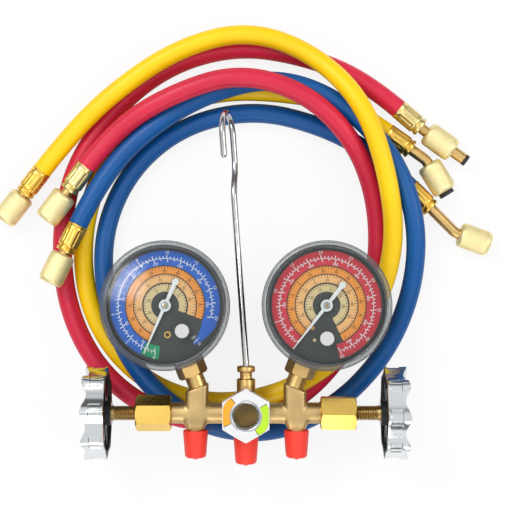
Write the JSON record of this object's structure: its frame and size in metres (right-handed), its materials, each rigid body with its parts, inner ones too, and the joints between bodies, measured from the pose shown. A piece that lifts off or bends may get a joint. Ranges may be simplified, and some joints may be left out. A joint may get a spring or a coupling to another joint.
{
  "type": "refrigerant manifold gauge",
  "caption": "Brass refrigerant manifold with low and high side gauges, hand valves with lobed wheels, sight glass, port caps, hanging hook and coiled service hoses.",
  "frame": {"origin": "centre of the manifold's bounding box, hoses left out; z = 0 is the plane of the gallery's axis", "axes": "+X towards the high-side gauge, +Y towards the gauges and hook, +Z out of the dials"},
  "size_m": [0.3118, 0.2702, 0.065],
  "materials": {
    "brass_forged": "forged, satin",
    "brass_bright": "turned and polished",
    "brass_neck": "turned",
    "brass_ferrule": "crimped, polished",
    "brass_nut": "knurled, pale plated brass",
    "brass_inner": "inner movement, plain",
    "hose_yellow": "smooth, satin",
    "hose_red": "smooth, satin",
    "hose_blue": "smooth, satin",
    "cap_red": "soft moulded cap",
    "wheel_chrome": "plated casting",
    "steel": "zinc plated",
    "rod_chrome": "plated rod",
    "case_dark": "black enamel",
    "cover_clear": "clear moulded cover",
    "dial_low": "printed dial, blue",
    "dial_high": "printed dial, red",
    "pointer_white": "white enamel",
    "plug_white": "moulded",
    "lens": "polished",
    "indicator": "printed disc",
    "nut_white": "white enamelled nut",
    "rubber_black": "gasket"
  },
  "bodies": {
    "hoses": {"ferrules_blue": "brass_ferrule", "ferrules_red": "brass_ferrule", "ferrules_yellow": "brass_ferrule", "hose_blue": "hose_blue", "hose_red": "hose_red", "hose_seals": "rubber_black", "hose_yellow": "hose_yellow", "tails_blue": "brass_neck", "tails_red": "brass_neck", "tails_yellow": "brass_neck"},
    "manifold": {"manifold_body": "brass_forged", "sight_nut": "nut_white", "sight_lens": "lens", "sight_indicator": "indicator", "hook_nut": "brass_neck", "bonnet_low": "brass_bright", "packing_low": "rubber_black", "gauge_socket_low": "brass_neck", "case_low": "case_dark", "cover_low": "cover_clear", "zero_plug_low": "plug_white", "dial_low": "dial_low", "bourdon_tube_low": "brass_inner", "movement_low": "brass_inner", "sector_low": "brass_inner", "link_low": "brass_inner", "bonnet_high": "brass_bright", "packing_high": "rubber_black", "gauge_socket_high": "brass_neck", "case_high": "case_dark", "cover_high": "cover_clear", "zero_plug_high": "plug_white", "dial_high": "dial_high", "bourdon_tube_high": "brass_inner", "movement_high": "brass_inner", "sector_high": "brass_inner", "link_high": "brass_inner"},
    "hook": {"hanging_hook": "rod_chrome"},
    "cap_low": {"cap_low": "cap_red"},
    "cap_mid": {"cap_mid": "cap_red"},
    "cap_high": {"cap_high": "cap_red"},
    "valve_low": {"valve_disc_low": "rubber_black"},
    "wheel_low": {"stem_low": "brass_neck", "handwheel_low": "wheel_chrome", "handwheel_screw_low": "steel"},
    "pointer_low": {"pointer_low": "pointer_white", "arbor_low": "brass_inner"},
    "valve_high": {"valve_disc_high": "rubber_black"},
    "wheel_high": {"stem_high": "brass_neck", "handwheel_high": "wheel_chrome", "handwheel_screw_high": "steel"},
    "pointer_high": {"pointer_high": "pointer_white", "arbor_high": "brass_inner"},
    "nut_yellow_near": {"nut_yellow_near": "brass_nut"},
    "nut_yellow_far": {"nut_yellow_far": "brass_nut"},
    "nut_red_near": {"nut_red_near": "brass_nut"},
    "nut_red_far": {"nut_red_far": "brass_nut"},
    "nut_blue_near": {"nut_blue_near": "brass_nut"},
    "nut_blue_far": {"nut_blue_far": "brass_nut"}
  },
  "joints": [
    {"name": "manifold_lift", "type": "slide", "parent": "hoses", "child": "manifold", "axis": [0, 0, 1], "range_m": [0, 0.15]},
    {"name": "hook_swivel", "type": "hinge", "parent": "manifold", "child": "hook", "pos_m": [0, -0.04706, 0], "axis": [0, 1, 0], "continuous": true},
    {"name": "cap_low_pull", "type": "slide", "parent": "manifold", "child": "cap_low", "axis": [0, -1, 0], "range_m": [0, 0.02]},
    {"name": "cap_mid_pull", "type": "slide", "parent": "manifold", "child": "cap_mid", "axis": [0, -1, 0], "range_m": [0, 0.02]},
    {"name": "cap_high_pull", "type": "slide", "parent": "manifold", "child": "cap_high", "axis": [0, -1, 0], "range_m": [0, 0.02]},
    {"name": "valve_low_travel", "type": "slide", "parent": "manifold", "child": "valve_low", "axis": [-1, 0, 0], "range_m": [-0.00151, 0.00451]},
    {"name": "wheel_low_turn", "type": "hinge", "parent": "valve_low", "child": "wheel_low", "pos_m": [-0.089, -0.07556, 0], "axis": [-1, 0, 0], "range_deg": [-360, 1080]},
    {"name": "pointer_low_turn", "type": "hinge", "parent": "manifold", "child": "pointer_low", "pos_m": [-0.04799, -0.00998, 0.0152], "axis": [0, 0, -1], "range_deg": [-17, 233]},
    {"name": "valve_high_travel", "type": "slide", "parent": "manifold", "child": "valve_high", "axis": [1, 0, 0], "range_m": [-0.00151, 0.00451]},
    {"name": "wheel_high_turn", "type": "hinge", "parent": "valve_high", "child": "wheel_high", "pos_m": [0.089, -0.07556, 0], "axis": [1, 0, 0], "range_deg": [-360, 1080]},
    {"name": "pointer_high_turn", "type": "hinge", "parent": "manifold", "child": "pointer_high", "pos_m": [0.04799, -0.00998, 0.0152], "axis": [0, 0, -1], "range_deg": [0, 334]},
    {"name": "nut_yellow_near_turn", "type": "hinge", "parent": "hoses", "child": "nut_yellow_near", "pos_m": [-0.13949, 0.05754, -0.02731], "axis": [-0.62, -0.7826, -0.0567], "continuous": true},
    {"name": "nut_yellow_far_turn", "type": "hinge", "parent": "hoses", "child": "nut_yellow_far", "pos_m": [0.11385, 0.0769, -0.02792], "axis": [0.5299, -0.848, 0], "continuous": true},
    {"name": "nut_red_near_turn", "type": "hinge", "parent": "hoses", "child": "nut_red_near", "pos_m": [-0.11162, 0.0576, -0.01743], "axis": [-0.6056, -0.7953, -0.0292], "continuous": true},
    {"name": "nut_red_far_turn", "type": "hinge", "parent": "hoses", "child": "nut_red_far", "pos_m": [0.11321, 0.0968, -0.02891], "axis": [0.809, -0.5878, 0], "continuous": true},
    {"name": "nut_blue_near_turn", "type": "hinge", "parent": "hoses", "child": "nut_blue_near", "pos_m": [-0.11254, 0.0207, -0.01591], "axis": [-0.432, -0.9002, 0.0545], "continuous": true},
    {"name": "nut_blue_far_turn", "type": "hinge", "parent": "hoses", "child": "nut_blue_far", "pos_m": [0.13337, 0.03317, -0.02862], "axis": [0.9397, -0.342, 0], "continuous": true}
  ],
  "couplings": [
    {"joint": "valve_low_travel", "follows": "wheel_low_turn", "m_per_rad": 0.00023873},
    {"joint": "valve_high_travel", "follows": "wheel_high_turn", "m_per_rad": 0.00023873}
  ]
}
